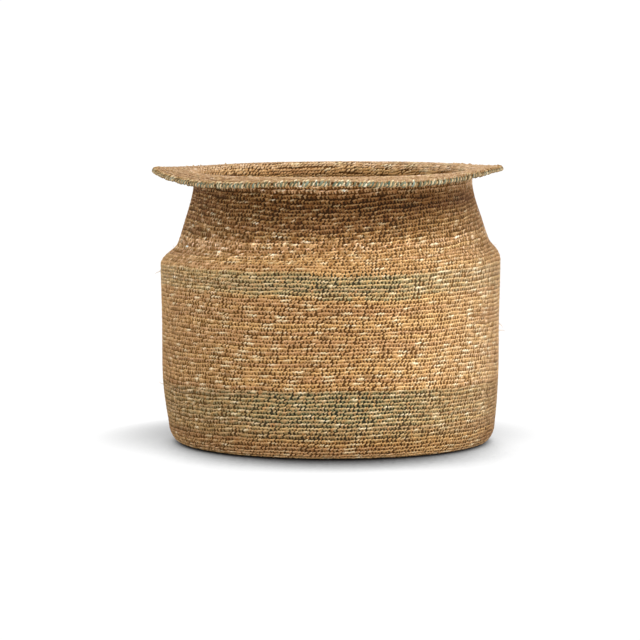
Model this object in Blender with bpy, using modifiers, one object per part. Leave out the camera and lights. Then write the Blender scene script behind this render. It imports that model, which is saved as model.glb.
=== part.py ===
"""Belly basket: a round basket crocheted from seagrass cord, with a drawn-in neck and a wide brim.

Units are metres and +Z is up. The origin is the middle of the base, on the floor, where the crochet
starts. +X is to the right of someone who looks at the front, and -Y is towards them. The basket is
one fabric, worked in rounds from the middle of the base to the edge of the brim. Each stretch of the
fabric that has its own cord or its own shape is a ring of its own here, and the rings meet at a seam
between two rounds. The true shape is round, and the maker's hand then leaves it a little off true.
"""

import math

import bpy

# The fabric
FABRIC = 0.0045  # thickness of one layer of crochet
SEAM_GAP = 0.0003  # between the last round of one ring and the first round of the next

# The base and the foot
START_RADIUS = 0.0090  # the drawn-up ring of first stitches
FLOOR_RADIUS = 0.1500  # the flat of the base
FOOT_CURVE_OUT = 0.0085  # the turn from base to wall, measured on its inner side
FOOT_CURVE_UP = 0.0155

# The wall, from the foot up
LOWER_GREEN_HEIGHT = 0.0468
BELLY_LOWER_HEIGHT = 0.0452
BELLY_UPPER_HEIGHT = 0.0457
UPPER_GREEN_HEIGHT = 0.0239
BELLY_SWELL = 0.0050  # how far the belly stands out past the top of the foot
BELLY_SWELL_HEIGHT = 0.0650  # the height that this takes
SHOULDER_SWELL = 0.0013  # how far the shoulder stands out past the belly

# The shoulder and the neck
SHOULDER_STEP = 0.0151
SHOULDER_RISE = 0.0204
NECK_DRAW_IN = 0.0158
NECK_RISE = 0.0575

# The brim and its edging
BRIM_BEND = 0.0075  # radius of the bend from neck to brim, on its outer side
BRIM_WIDTH = 0.0250  # the nearly level part
BRIM_DROOP = 0.0022
EDGING_WIDTH = 0.0048
EDGING_PROUD = 0.0005  # how far the edging stands out past each face of the brim

# What the maker's hand left: how far each part sits to the right of the base, and how it waves
BELLY_LEAN = -0.0015
NECK_LEAN = 0.0009
BRIM_LEAN = -0.0042
SHOULDER_TILT = 0.0030
THROAT_TILT = 0.0010
BRIM_WAVE = 0.0022

# Points of the shoulder and the neck, as shares of their step inwards and of their rise
SHOULDER_SHARES = ((0.086, 0.17), (0.28, 0.366), (0.58, 0.57), (0.87, 0.78), (1.0, 1.0))
NECK_SHARES = ((0.17, 0.13), (0.39, 0.33), (0.665, 0.556), (0.83, 0.713), (0.956, 0.87), (1.0, 1.0))

# The brim's waves: how many to the round, the share of BRIM_WAVE, and the direction of a crest
BRIM_WAVE_SHARES = ((1, 1.0, -28), (2, 0.95, -10), (4, 0.45, -5), (5, 0.53, -23))

# How finely the rings are faceted
FACETS = 48
TURN_STEPS = 5
WALL_STEPS = 3
EDGING_STEPS = 8
MERGE_DISTANCE = 0.00001
SHARP_ANGLE = math.radians(40)

# Dry plant fibre, natural and dyed
NATURAL = (0.43, 0.25, 0.11, 1.0)
STREAKED = (0.46, 0.28, 0.13, 1.0)
SHADED = (0.36, 0.20, 0.09, 1.0)
GREEN = (0.29, 0.24, 0.12, 1.0)
EDGING = (0.36, 0.35, 0.22, 1.0)
ROUGHNESS = 0.85

# Heights where the rings meet, and the radii that they are worked to
FOOT_OUT = FOOT_CURVE_OUT + FABRIC
FOOT_TOP = FOOT_CURVE_UP + FABRIC
LOWER_GREEN_TOP = FOOT_TOP + LOWER_GREEN_HEIGHT
BELLY_MIDDLE = LOWER_GREEN_TOP + BELLY_LOWER_HEIGHT
BELLY_TOP = BELLY_MIDDLE + BELLY_UPPER_HEIGHT
UPPER_GREEN_TOP = BELLY_TOP + UPPER_GREEN_HEIGHT
NECK_FOOT = UPPER_GREEN_TOP + SHOULDER_RISE
THROAT_HEIGHT = NECK_FOOT + NECK_RISE
BELLY_RADIUS = FLOOR_RADIUS + FOOT_OUT + BELLY_SWELL
SHOULDER_RADIUS = BELLY_RADIUS + SHOULDER_SWELL
NECK_FOOT_RADIUS = SHOULDER_RADIUS - SHOULDER_STEP
THROAT_RADIUS = NECK_FOOT_RADIUS - NECK_DRAW_IN
BRIM_UNDERSIDE = THROAT_HEIGHT + BRIM_BEND
BRIM_EDGE_RADIUS = THROAT_RADIUS + BRIM_BEND + BRIM_WIDTH


def smooth(value, low, high):
    """0 up to low and 1 from high on, with an even curve between them."""
    share = min(max((value - low) / (high - low), 0.0), 1.0)
    return share * share * (3.0 - 2.0 * share)


def between(first, second, share):
    """The value that lies this share of the way from first to second."""
    return first + (second - first) * share


def wall_radius(height):
    """Outer radius of the wall between the foot and the shoulder."""
    left = 1.0 - min((height - FOOT_TOP) / BELLY_SWELL_HEIGHT, 1.0)
    swell = SHOULDER_SWELL * smooth(height, BELLY_MIDDLE, UPPER_GREEN_TOP)
    return BELLY_RADIUS - BELLY_SWELL * left * left + swell


def wall_points(low, high):
    """Points of the outer face from just above low up to high."""
    heights = [between(low, high, step / WALL_STEPS) for step in range(1, WALL_STEPS + 1)]
    return [(wall_radius(height), height) for height in heights]


def foot_points():
    """The turn from the flat base to the wall, a quarter of an ellipse."""
    points = []
    for step in range(1, TURN_STEPS + 1):
        angle = math.pi / 2 * step / TURN_STEPS
        points.append((FLOOR_RADIUS + FOOT_OUT * math.sin(angle), FOOT_TOP * (1.0 - math.cos(angle))))
    return points


def drawn_in_points(shares, radius, step, height, rise):
    """Points that come in by step while they go up by rise."""
    return [(radius - step * inward, height + rise * upward) for inward, upward in shares]


def brim_points():
    """The bend out of the neck, then the brim's underside out to its edging."""
    centre = THROAT_RADIUS + BRIM_BEND
    points = []
    for step in range(1, TURN_STEPS + 1):
        angle = math.pi / 2 * step / TURN_STEPS
        points.append((centre - BRIM_BEND * math.cos(angle), THROAT_HEIGHT + BRIM_BEND * math.sin(angle)))
    for step in range(1, WALL_STEPS + 1):
        share = step / WALL_STEPS
        points.append((centre + BRIM_WIDTH * share, BRIM_UNDERSIDE - BRIM_DROOP * share * share))
    return points


def rings_in_order():
    """Each ring's name, colour and outer points in the order of work, from base to brim."""
    shoulder = drawn_in_points(
        SHOULDER_SHARES, SHOULDER_RADIUS, SHOULDER_STEP, UPPER_GREEN_TOP, SHOULDER_RISE
    )
    neck = drawn_in_points(NECK_SHARES, NECK_FOOT_RADIUS, NECK_DRAW_IN, NECK_FOOT, NECK_RISE)
    return (
        ("base_disc", SHADED, [(FLOOR_RADIUS, 0.0)]),
        ("foot_round", SHADED, foot_points()),
        ("lower_green_band", GREEN, wall_points(FOOT_TOP, LOWER_GREEN_TOP)),
        ("belly_lower_band", STREAKED, wall_points(LOWER_GREEN_TOP, BELLY_MIDDLE)),
        ("belly_upper_band", NATURAL, wall_points(BELLY_MIDDLE, BELLY_TOP)),
        ("upper_green_band", GREEN, wall_points(BELLY_TOP, UPPER_GREEN_TOP)),
        ("shoulder_band", NATURAL, shoulder),
        ("neck_band", SHADED, neck),
        ("brim", STREAKED, brim_points()),
    )


def directions(line, index):
    """At a point of the outline: the direction along it, and the direction out of the fabric."""
    before = line[max(index - 1, 0)]
    after = line[min(index + 1, len(line) - 1)]
    length = math.dist(before, after)
    along = ((after[0] - before[0]) / length, (after[1] - before[1]) / length)
    return along, (along[1], -along[0])


def moved(point, direction, distance):
    """The point at this distance from another one."""
    return point[0] + direction[0] * distance, point[1] + direction[1] * distance


def ring_section(line, first, last):
    """Closed section of one ring: down its outer face, then back up its inner face."""
    outer = []
    inner = []
    for index in range(first, last + 1):
        along, out = directions(line, index)
        trim = SEAM_GAP / 2 * ((index == first) - (index == last))
        point = moved(line[index], along, trim)
        outer.append(point)
        inner.append(moved(point, out, -FABRIC))
    return outer[::-1] + inner


def edging_section(line):
    """Half an ellipse that closes on the brim's cut edge."""
    along, out = directions(line, len(line) - 1)
    centre = moved(moved(line[-1], along, SEAM_GAP / 2), out, -FABRIC / 2)
    half_height = FABRIC / 2 + EDGING_PROUD
    points = []
    for step in range(EDGING_STEPS + 1):
        angle = math.pi * (step / EDGING_STEPS - 0.5)
        outward = moved(centre, along, EDGING_WIDTH * math.cos(angle))
        points.append(moved(outward, out, half_height * math.sin(angle)))
    return points


def start_section():
    """Open section of the ring of first stitches, from its middle above to its middle below."""
    edge = START_RADIUS - SEAM_GAP / 2
    return [(0.0, FABRIC), (edge, FABRIC), (edge, 0.0), (0.0, 0.0)]


def by_hand(x, y, z):
    """Where a point of the true shape lies on the basket as it was made."""
    radius = math.hypot(x, y)
    angle = math.atan2(y, x)
    belly = smooth(z, FABRIC, LOWER_GREEN_TOP)
    shoulder = smooth(z, BELLY_TOP, UPPER_GREEN_TOP)
    neck = smooth(z, UPPER_GREEN_TOP, NECK_FOOT)
    throat = smooth(z, NECK_FOOT, THROAT_HEIGHT)
    brim = smooth(radius, THROAT_RADIUS, BRIM_EDGE_RADIUS) if z > THROAT_HEIGHT else 0.0
    lean = between(between(BELLY_LEAN * belly, NECK_LEAN, neck), BRIM_LEAN, brim)
    tilt = between(SHOULDER_TILT * shoulder, THROAT_TILT, throat) * math.cos(angle)
    wave = 0.0
    for waves, share, crest in BRIM_WAVE_SHARES:
        wave += BRIM_WAVE * share * math.cos(waves * (angle - math.radians(crest)))
    return x + lean, y, z + between(tilt, wave, brim)


def cord_material(name, colour):
    """Dull, dry plant fibre in one colour."""
    material = bpy.data.materials.new(name)
    material.use_nodes = True
    shader = material.node_tree.nodes["Principled BSDF"]
    shader.inputs["Base Color"].default_value = colour
    shader.inputs["Roughness"].default_value = ROUGHNESS
    shader.inputs["Metallic"].default_value = 0.0
    return material


def turned(name, section, closed, colour, collection):
    """One ring of the fabric: its section turned once round the Z axis, then put off true."""
    profile = bpy.data.meshes.new(name + "_section")
    count = len(section)
    edges = [(point, (point + 1) % count) for point in range(count if closed else count - 1)]
    profile.from_pydata([(radius, 0.0, height) for radius, height in section], edges, [])
    outline = bpy.data.objects.new(name + "_section", profile)
    collection.objects.link(outline)
    turn = outline.modifiers.new("Turn", "SCREW")
    turn.steps = FACETS
    turn.render_steps = FACETS
    turn.use_merge_vertices = True
    turn.merge_threshold = MERGE_DISTANCE
    evaluated = outline.evaluated_get(bpy.context.evaluated_depsgraph_get())
    mesh = bpy.data.meshes.new_from_object(evaluated)
    bpy.data.objects.remove(outline)
    for vertex in mesh.vertices:
        vertex.co = by_hand(*vertex.co)
    mesh.name = name
    mesh.shade_smooth()
    mesh.set_sharp_from_angle(angle=SHARP_ANGLE)
    mesh.materials.append(cord_material(name, colour))
    ring = bpy.data.objects.new(name, mesh)
    collection.objects.link(ring)


def main():
    """Clears the scene and makes the basket, ring by ring."""
    for old in list(bpy.data.objects):
        bpy.data.objects.remove(old)
    basket = bpy.data.collections.new("belly_basket")
    bpy.context.scene.collection.children.link(basket)

    line = [(START_RADIUS, 0.0)]
    for name, colour, points in rings_in_order():
        line.extend(points)
    turned("base_start", start_section(), False, SHADED, basket)
    first = 0
    for name, colour, points in rings_in_order():
        last = first + len(points)
        turned(name, ring_section(line, first, last), True, colour, basket)
        first = last
    turned("brim_edging", edging_section(line), True, EDGING, basket)


main()
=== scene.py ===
# %% [markdown]
# # A crocheted belly basket
# The real basket is one fabric, worked in a spiral of single crochet from the middle of the base to
# the edge of the brim. The cord is dry twisted seagrass, a few lengths of it dyed green, and all the
# life of the surface comes from some 31,000 stitches of it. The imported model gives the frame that
# every piece has to fit: one ring for each stretch of the fabric.

# %% Load the fixed frame
import math

import bmesh
import bpy
import numpy as np
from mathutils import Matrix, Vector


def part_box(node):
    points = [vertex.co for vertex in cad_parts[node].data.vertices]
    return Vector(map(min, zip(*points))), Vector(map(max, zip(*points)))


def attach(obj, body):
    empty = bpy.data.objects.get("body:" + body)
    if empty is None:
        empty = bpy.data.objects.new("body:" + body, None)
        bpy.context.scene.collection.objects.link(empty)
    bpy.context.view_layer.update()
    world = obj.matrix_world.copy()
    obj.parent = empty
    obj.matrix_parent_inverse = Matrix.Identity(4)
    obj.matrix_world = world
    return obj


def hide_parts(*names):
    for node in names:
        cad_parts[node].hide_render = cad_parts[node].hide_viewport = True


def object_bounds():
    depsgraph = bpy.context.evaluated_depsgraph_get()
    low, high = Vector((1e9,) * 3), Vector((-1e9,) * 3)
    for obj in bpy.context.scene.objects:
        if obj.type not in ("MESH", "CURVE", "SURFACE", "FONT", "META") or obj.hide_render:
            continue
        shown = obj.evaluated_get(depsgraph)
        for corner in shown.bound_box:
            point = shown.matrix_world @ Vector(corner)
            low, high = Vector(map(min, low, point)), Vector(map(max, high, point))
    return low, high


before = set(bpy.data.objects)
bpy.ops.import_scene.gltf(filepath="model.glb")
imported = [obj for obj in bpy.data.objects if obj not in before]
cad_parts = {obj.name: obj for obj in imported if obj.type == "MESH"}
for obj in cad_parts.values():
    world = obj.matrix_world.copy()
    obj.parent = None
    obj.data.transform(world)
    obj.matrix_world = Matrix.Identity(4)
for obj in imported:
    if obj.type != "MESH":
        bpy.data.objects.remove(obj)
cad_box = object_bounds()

MM = 0.001
sides = [round(side / MM) for side in cad_box[1] - cad_box[0]]
print("frame nodes:", len(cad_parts), "box in mm:", sides)

# %% [markdown]
# ## Camera
# The photograph is a product shot with a long lens from a few metres away, a little above the brim.
# The ellipses of the base and of the brim fix the camera's height and distance, so the camera is set
# from real sizes and then aimed at the point that the picture has in its middle.

# %% Place the camera
CAMERA_DISTANCE = 4.0
CAMERA_HEIGHT = 0.508
LENS = 226.2  # millimetres on a 36 mm sensor
AIM = (-0.0118, 0.0, 0.1206)


def aimed(thing, place, target):
    """Puts a camera or a lamp at a place and turns it to look at a target."""
    thing.location = place
    thing.rotation_mode = "QUATERNION"
    direction = np.subtract(target, place)
    thing.rotation_quaternion = Vector(direction).to_track_quat("-Z", "Y")


def linked(name, data):
    """A new object in the scene."""
    thing = bpy.data.objects.new(name, data)
    bpy.context.scene.collection.objects.link(thing)
    return thing


camera = linked("camera", bpy.data.cameras.new("camera"))
camera.data.lens = LENS
camera.data.clip_end = 60.0
aimed(camera, (0.0, -CAMERA_DISTANCE, CAMERA_HEIGHT), AIM)
bpy.context.scene.camera = camera
down = math.degrees(math.atan((CAMERA_HEIGHT - AIM[2]) / CAMERA_DISTANCE))
print("camera looks down by", round(down, 2), "degrees")

# %% [markdown]
# ## The outline of the fabric
# A basket is a turned shape at heart, so its whole form is one line from the middle of the base to
# the edge of the brim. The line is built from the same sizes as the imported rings. A moving average
# then rounds its corners, because a crocheted fabric can't take a sharp one, and even steps along it
# let every later piece ask for a place by its distance from the middle of the base.

# %% Sizes of the outline
FABRIC = 4.5 * MM
FLOOR_RADIUS = 150.0 * MM
FOOT_OUT = 13.0 * MM
FOOT_TOP = 20.0 * MM
LOWER_GREEN_TOP = FOOT_TOP + 46.8 * MM
BELLY_MIDDLE = LOWER_GREEN_TOP + 45.2 * MM
BELLY_TOP = BELLY_MIDDLE + 45.7 * MM
UPPER_GREEN_TOP = BELLY_TOP + 23.9 * MM
BELLY_SWELL = 5.0 * MM
BELLY_SWELL_HEIGHT = 65.0 * MM
SHOULDER_SWELL = 1.3 * MM
SHOULDER_STEP = 15.1 * MM
SHOULDER_RISE = 20.4 * MM
NECK_DRAW_IN = 15.8 * MM
NECK_RISE = 57.5 * MM
BRIM_BEND = 7.5 * MM
BRIM_WIDTH = 25.0 * MM
BRIM_DROOP = 2.2 * MM
# At a few places on the shoulder and on the neck, the share of the way in and of the way up.
SHOULDER_SHARES = ((0.086, 0.17), (0.28, 0.366), (0.58, 0.57), (0.87, 0.78), (1.0, 1.0))
NECK_SHARES = ((0.17, 0.13), (0.39, 0.33), (0.665, 0.556), (0.83, 0.713), (0.956, 0.87), (1.0, 1.0))

BELLY_RADIUS = FLOOR_RADIUS + FOOT_OUT + BELLY_SWELL
SHOULDER_RADIUS = BELLY_RADIUS + SHOULDER_SWELL
NECK_FOOT = UPPER_GREEN_TOP + SHOULDER_RISE
NECK_FOOT_RADIUS = SHOULDER_RADIUS - SHOULDER_STEP
THROAT_HEIGHT = NECK_FOOT + NECK_RISE
THROAT_RADIUS = NECK_FOOT_RADIUS - NECK_DRAW_IN
BRIM_EDGE_RADIUS = THROAT_RADIUS + BRIM_BEND + BRIM_WIDTH
FOOT_STEPS, BELLY_STEPS, BRIM_STEPS = 12, 40, 8  # points that draw each stretch


# %% Draw the outline
def smooth(value, low, high):
    """0 up to low and 1 from high on, with an even curve between them."""
    share = np.clip((value - low) / (high - low), 0.0, 1.0)
    return share * share * (3.0 - 2.0 * share)


def outline_points():
    """(radius, height) down the middle of the base, up the wall and out to the edge of the brim."""
    points = [(0.0, 0.0), (FLOOR_RADIUS, 0.0)]
    for angle in np.linspace(0.0, math.pi / 2, FOOT_STEPS)[1:]:
        points.append((FLOOR_RADIUS + FOOT_OUT * math.sin(angle), FOOT_TOP * (1.0 - math.cos(angle))))
    for height in np.linspace(FOOT_TOP, UPPER_GREEN_TOP, BELLY_STEPS)[1:]:
        left = 1.0 - min((height - FOOT_TOP) / BELLY_SWELL_HEIGHT, 1.0)
        swell = SHOULDER_SWELL * smooth(height, BELLY_MIDDLE, UPPER_GREEN_TOP)
        points.append((BELLY_RADIUS - BELLY_SWELL * left * left + swell, height))
    for inward, upward in SHOULDER_SHARES:
        points.append((SHOULDER_RADIUS - SHOULDER_STEP * inward, UPPER_GREEN_TOP + SHOULDER_RISE * upward))
    for inward, upward in NECK_SHARES:
        points.append((NECK_FOOT_RADIUS - NECK_DRAW_IN * inward, NECK_FOOT + NECK_RISE * upward))
    middle = THROAT_RADIUS + BRIM_BEND
    for angle in np.linspace(0.0, math.pi / 2, BRIM_STEPS)[1:]:
        points.append((middle - BRIM_BEND * math.cos(angle), THROAT_HEIGHT + BRIM_BEND * math.sin(angle)))
    for share in np.linspace(0.0, 1.0, BRIM_STEPS)[1:]:
        points.append((middle + BRIM_WIDTH * share, THROAT_HEIGHT + BRIM_BEND - BRIM_DROOP * share * share))
    return np.array(points)


LINE_STEP = 0.5 * MM
CORNER = 3.0 * MM  # half the length that the moving average takes in


def even_line(points, step):
    """The same line with a point at each step along it."""
    distance = np.concatenate([[0.0], np.cumsum(np.linalg.norm(np.diff(points, axis=0), axis=1))])
    even = np.linspace(0.0, distance[-1], round(distance[-1] / step) + 1)
    return even, np.stack([np.interp(even, distance, side) for side in points.T], axis=1)


def rounded_line(points, reach):
    """A moving average over reach points each way, with the two ends left as they are."""
    ends = [points[:1] + np.arange(-reach, 0)[:, None] * (points[1] - points[0])]
    ends += [points, points[-1:] + np.arange(1, reach + 1)[:, None] * (points[-1] - points[-2])]
    longer = np.concatenate(ends)
    window = np.ones(2 * reach + 1) / (2 * reach + 1)
    return np.stack([np.convolve(side, window, "valid") for side in longer.T], axis=1)


drawn = rounded_line(even_line(outline_points(), LINE_STEP)[1], round(CORNER / LINE_STEP))
LINE, drawn = even_line(drawn, LINE_STEP)
LINE_RADIUS, LINE_HEIGHT = drawn.T
slope = np.gradient(drawn, axis=0)
slope /= np.linalg.norm(slope, axis=1)[:, None]
LINE_OUT_RADIUS, LINE_OUT_HEIGHT = slope[:, 1], -slope[:, 0]
print("the outline is", round(LINE[-1] / MM), "mm long")

# %% [markdown]
# ## The maker's hand
# No hand-made basket is true: this one's neck sits to one side of its base, its shoulder is higher on
# the right, and its brim waves. One formula moves every point of the true shape to where it lies on
# the basket, and because all the pieces pass through it, they stay in line with each other.

# %% Put a point of the true shape where it lies on the basket
BELLY_LEAN = -1.5 * MM
NECK_LEAN = 0.9 * MM
BRIM_LEAN = -4.2 * MM
SHOULDER_TILT = 3.0 * MM
THROAT_TILT = 1.0 * MM
BRIM_WAVE = 2.2 * MM
LEFT_LIFT = 2.0 * MM  # how far the left end of the brim is turned up
RIGHT_LIFT = 1.0 * MM
FRONT_ROLL = 1.1 * MM  # how far the front of the brim rises before it falls to its edge
LIFT_POWER = 6  # high, so that the two lifts stay at the ends of the brim
# Waves in one round of the brim, their share of the wave, and where their crest is in degrees.
BRIM_WAVE_SHARES = ((1, 1.0, -28), (2, 0.95, -10), (4, 0.45, -5), (5, 0.53, -23))


def between(first, second, share):
    """The value that lies this share of the way from first to second."""
    return first + (second - first) * share


def by_hand(x, y, z):
    """Where points of the true shape lie on the basket as it was made."""
    radius = np.hypot(x, y)
    angle = np.arctan2(y, x)
    belly = smooth(z, FABRIC, LOWER_GREEN_TOP)
    shoulder = smooth(z, BELLY_TOP, UPPER_GREEN_TOP)
    neck = smooth(z, UPPER_GREEN_TOP, NECK_FOOT)
    throat = smooth(z, NECK_FOOT, THROAT_HEIGHT)
    brim = np.where(z > THROAT_HEIGHT, smooth(radius, THROAT_RADIUS, BRIM_EDGE_RADIUS), 0.0)
    lean = between(between(BELLY_LEAN * belly, NECK_LEAN, neck), BRIM_LEAN, brim)
    tilt = between(SHOULDER_TILT * shoulder, THROAT_TILT, throat) * np.cos(angle)
    wave = 0.0
    for waves, share, crest in BRIM_WAVE_SHARES:
        wave = wave + BRIM_WAVE * share * np.cos(waves * (angle - math.radians(crest)))
    wave = wave + LEFT_LIFT * (-np.cos(angle)).clip(0.0) ** LIFT_POWER
    wave = wave + RIGHT_LIFT * np.cos(angle).clip(0.0) ** LIFT_POWER
    roll = FRONT_ROLL * np.sin(math.pi * np.sqrt(brim)) * (-np.sin(angle)).clip(0.0)
    return np.stack([x + lean, y, z + between(tilt, wave, brim) + roll], axis=-1)


def fabric(distance, turn, depth):
    """Points of the fabric at distances along the outline and turns round it, depth under its outer face."""
    radius = np.interp(distance, LINE, LINE_RADIUS) - depth * np.interp(distance, LINE, LINE_OUT_RADIUS)
    height = np.interp(distance, LINE, LINE_HEIGHT) - depth * np.interp(distance, LINE, LINE_OUT_HEIGHT)
    angle = 2.0 * math.pi * turn
    return by_hand(radius * np.cos(angle), radius * np.sin(angle), height)


# %% Find where each ring starts and ends along the outline
# Heights stop rising where the line lies level on the brim, so these last points are left out.
LEVEL_POINTS = round((BRIM_WIDTH + 5.0 * MM) / LINE_STEP)
START = 9.0 * MM
MIDDLE_HOLE = 0.6 * MM
RING_TOPS = (
    ("foot_round", FOOT_TOP),
    ("lower_green_band", LOWER_GREEN_TOP),
    ("belly_lower_band", BELLY_MIDDLE),
    ("belly_upper_band", BELLY_TOP),
    ("upper_green_band", UPPER_GREEN_TOP),
    ("shoulder_band", NECK_FOOT),
    ("neck_band", THROAT_HEIGHT),
)


def height_to_distance(height):
    """The distance along the outline at which the wall reaches a height."""
    wall = LINE > FLOOR_RADIUS
    return float(np.interp(height, LINE_HEIGHT[wall][:-LEVEL_POINTS], LINE[wall][:-LEVEL_POINTS]))


RINGS = {"base_start": (MIDDLE_HOLE, START), "base_disc": (START, FLOOR_RADIUS)}
seam = FLOOR_RADIUS
for name, top in RING_TOPS:
    RINGS[name] = (seam, height_to_distance(top))
    seam = RINGS[name][1]
BRIM_START = seam
RINGS["brim"] = (BRIM_START, float(LINE[-1]))

CHECK_TURNS = np.linspace(0.0, 1.0, 49)
CHECK_PLACES = 9
for name, (first, last) in RINGS.items():
    places = np.linspace(first, last, CHECK_PLACES)
    edges = np.concatenate([fabric(place, CHECK_TURNS, 0.0) for place in places])
    low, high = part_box(name)
    away = np.abs([edges.min(0) - low, edges.max(0) - high])[:, :2].max()
    print(f"{name} from {first / MM:.1f} to {last / MM:.1f} mm; its box differs by {away / MM:.1f} mm")

# %% [markdown]
# ## The spiral of stitches
# A crocheter works round and round without a break. Each round climbs by one course, 3.9 mm, and each
# stitch takes 3.2 mm of the round, so the number in a round follows its radius. Adding up those
# stitches along the spiral gives the place of each one. The courses of a hand-made basket also
# waver, so a few slow waves move them along the outline by up to two millimetres. On its right the
# belly's courses sink as well, and those of the neck rise and fall twice in a round.

# %% Count the stitches along the spiral
COURSE = 3.9 * MM
STITCH = 3.2 * MM
WAVER = 0.9 * MM
WAVER_SHARES = (
    # waves in a round, share of the waver, start, and the length of a wave up the wall
    (2, 1.0, 0.3, 260.0 * MM),
    (3, 0.6, 2.1, -190.0 * MM),
    (7, 0.4, 4.4, 150.0 * MM),
    (13, 0.35, 1.2, -110.0 * MM),
)
NECK_RISE_TO_RIGHT = 4.5 * MM
RIGHT_FALL = 5.5 * MM  # how far the courses of the belly sink on the right
FINE_STEPS = 200001  # places along the spiral at which its stitches are added up

turn_steps = np.linspace(MIDDLE_HOLE, LINE[-1], FINE_STEPS) / COURSE
per_turn = 2.0 * math.pi * np.interp(turn_steps * COURSE, LINE, LINE_RADIUS) / STITCH
counted = np.concatenate([[0.0], np.cumsum((per_turn[1:] + per_turn[:-1]) / 2 * np.diff(turn_steps))])
SPIRAL = np.interp(np.arange(int(counted[-1])), counted, turn_steps)
print("rounds:", round(turn_steps[-1]), "stitches:", len(SPIRAL))


def to_right(turns):
    """1 at the far right of the basket, 0 in front and behind, and -1 at the far left."""
    return np.cos(2.0 * math.pi * turns)


def wavered(distance, turn):
    """Distances along the outline with the slow waves of handwork, which fade out at both ends."""
    wave = 0.0
    for waves, share, start, length in WAVER_SHARES:
        wave = wave + WAVER * share * np.sin(2.0 * math.pi * (waves * turn + distance / length) + start)
    off_edge = 1.0 - smooth(distance, LINE[-1] - 12.0 * MM, LINE[-1])
    ends = smooth(distance, 0.0, FLOOR_RADIUS / 2) * off_edge
    shoulder = RINGS["shoulder_band"][0]
    onto_neck = smooth(distance, shoulder, shoulder + 45.0 * MM)
    off_neck = 1.0 - smooth(distance, BRIM_START - 25.0 * MM, BRIM_START + 5.0 * MM)
    rise = NECK_RISE_TO_RIGHT * np.sin(4.0 * math.pi * (turn - 0.75)) * onto_neck * off_neck
    right = ((to_right(turn) - 0.25) / 0.75).clip(0.0) ** 2.5
    onto_belly = smooth(distance, FLOOR_RADIUS + 20.0 * MM, RINGS["lower_green_band"][1] + 20.0 * MM)
    return distance + wave * ends + rise - RIGHT_FALL * right * onto_belly * (1.0 - onto_neck)


# %% [markdown]
# No two stitches are alike either. Slow chance along the spiral lets each course sway and lets the
# stitches slip along it, most in the neck, where the fabric was drawn in. The same stitch of the next
# course also sits about a third of a stitch further on, so the pinholes never line up into columns.

# %% Unsteadiness of the hand
LEAN = 0.37  # of a stitch, from each course to the next
SLIP = 0.38  # of a stitch
SWAY = 0.20 * MM
SIDE_SWAY = 0.10 * MM
NECK_SWAY = 0.22 * MM


def unsteady(reach, seed):
    """Slow chance for every stitch, mostly from -1 to 1, that changes over reach stitches."""
    window = np.hanning(reach + 2)
    chance = np.random.default_rng(seed).normal(size=len(SPIRAL))
    return np.convolve(chance, window, "same") / math.sqrt((window**2).sum())


SLIPS, SWAYS = unsteady(6, 11), unsteady(8, 12)
print("the farthest sway is", round(np.abs(SWAYS).max() * SWAY / MM, 1), "mm")


# %% [markdown]
# ## Light and dark by height
# Some of the shade on the real basket is deeper than plain lamps draw it, so a part of it is drawn
# into the cord, by zones. The brim keeps light from the neck, most of all close under it, while the
# fold over the shoulder and the turn into the brim catch it. Each table gives a few heights up the
# wall and how light the cord is there, and between them the tone changes evenly.

# %% Set the tones by height
FOOT_TONES = ((0.5 * MM, 1.2), (5.0 * MM, 0.96), (11.0 * MM, 0.82), (FOOT_TOP, 0.80), (32.0 * MM, 0.98))
GREEN_TONES = (
    (LOWER_GREEN_TOP - 1.0 * MM, 0.95),
    (LOWER_GREEN_TOP + 2.0 * MM, 0.99),
    (BELLY_TOP - 2.0 * MM, 1.0),
    (BELLY_TOP + 3.0 * MM, 1.06),
    (UPPER_GREEN_TOP - 3.0 * MM, 1.06),
    (UPPER_GREEN_TOP, 1.0),
)
NECK_TONES = (
    (UPPER_GREEN_TOP + 4.0 * MM, 0.95),
    (NECK_FOOT + 3.0 * MM, 0.97),
    (NECK_FOOT + 6.5 * MM, 1.10),
    (NECK_FOOT + 10.0 * MM, 0.75),
    (THROAT_HEIGHT - 13.5 * MM, 0.57),
    (THROAT_HEIGHT - 6.0 * MM, 0.80),
    (THROAT_HEIGHT - 2.0 * MM, 1.25),
)
BRIM_TONES = (
    # these are the inside's, by distance along the outline
    (BRIM_START - 16.0 * MM, 0.66),
    (BRIM_START - 8.0 * MM, 0.64),
    (BRIM_START + 6.0 * MM, 0.86),
    (BRIM_START + 12.0 * MM, 0.63),
)
heights_and_tones = FOOT_TONES + GREEN_TONES + NECK_TONES
OUTER_TONES = np.array([(height_to_distance(height), tone) for height, tone in heights_and_tones]).T
INNER_TONES = np.array(BRIM_TONES).T
print("tones outside from", OUTER_TONES[1].min(), "to", OUTER_TONES[1].max())
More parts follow.
